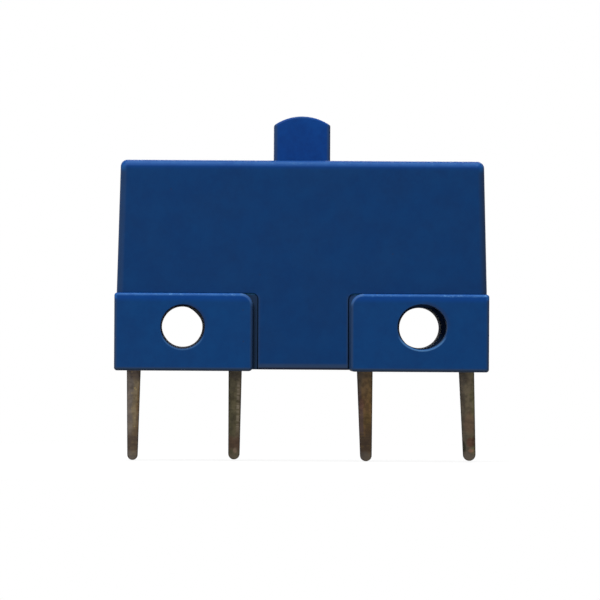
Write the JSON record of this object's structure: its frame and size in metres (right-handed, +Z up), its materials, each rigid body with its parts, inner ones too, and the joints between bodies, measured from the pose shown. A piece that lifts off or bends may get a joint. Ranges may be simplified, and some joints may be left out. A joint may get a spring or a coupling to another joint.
{
  "type": "snap action switch",
  "caption": "Small snap action switch: drafted blue case with two fixing holes in its feet, domed push button on top and a row of round-tipped solder prongs below.",
  "frame": {"origin": "midway between the axes of the two fixing holes, at half the case's depth", "axes": "+X to the right along the row of prongs, +Y from the front face (with the wider hole entry at the right) to the back, +Z up along the plunger"},
  "size_m": [0.028, 0.0104, 0.0258],
  "materials": {
    "housing": "moulded blue thermoplastic, fine satin texture",
    "button": "moulded blue thermoplastic, slightly smoother than the case",
    "tinned_brass": "dull tinned brass, tarnished brown, with fine scratches",
    "silver": "silver contact metal",
    "spring_steel": "bright spring steel",
    "copper_strip": "beryllium copper strip"
  },
  "bodies": {
    "case": {"cover": "housing", "base": "housing", "terminal_no_left": "tinned_brass", "terminal_nc_left": "tinned_brass", "terminal_nc_right": "tinned_brass", "terminal_no_right": "tinned_brass", "contact_no_left": "silver", "contact_nc_left": "silver", "contact_nc_right": "silver", "contact_no_right": "silver", "return_spring": "spring_steel"},
    "plunger": {"plunger": "button", "snap_spring_left": "spring_steel", "snap_spring_right": "spring_steel"},
    "bridge": {"contact_bridge": "copper_strip", "tip_left_lower": "silver", "tip_left_upper": "silver", "tip_right_lower": "silver", "tip_right_upper": "silver"}
  },
  "joints": [
    {"name": "plunger_travel", "type": "slide", "parent": "case", "child": "plunger", "axis": [0, 0, -1], "range_m": [0, 0.0022], "stiffness_N_per_m": 1000, "springref_m": -0.001, "deforming": ["return_spring"]},
    {"name": "bridge_snap", "type": "slide", "parent": "plunger", "child": "bridge", "axis": [0, 0, 1], "range_m": [0, 0.0031], "deforming": ["snap_spring_left", "snap_spring_right"]}
  ],
  "couplings": [
    {"joint": "bridge_snap", "follows": "plunger_travel", "ratio": 1.409}
  ]
}
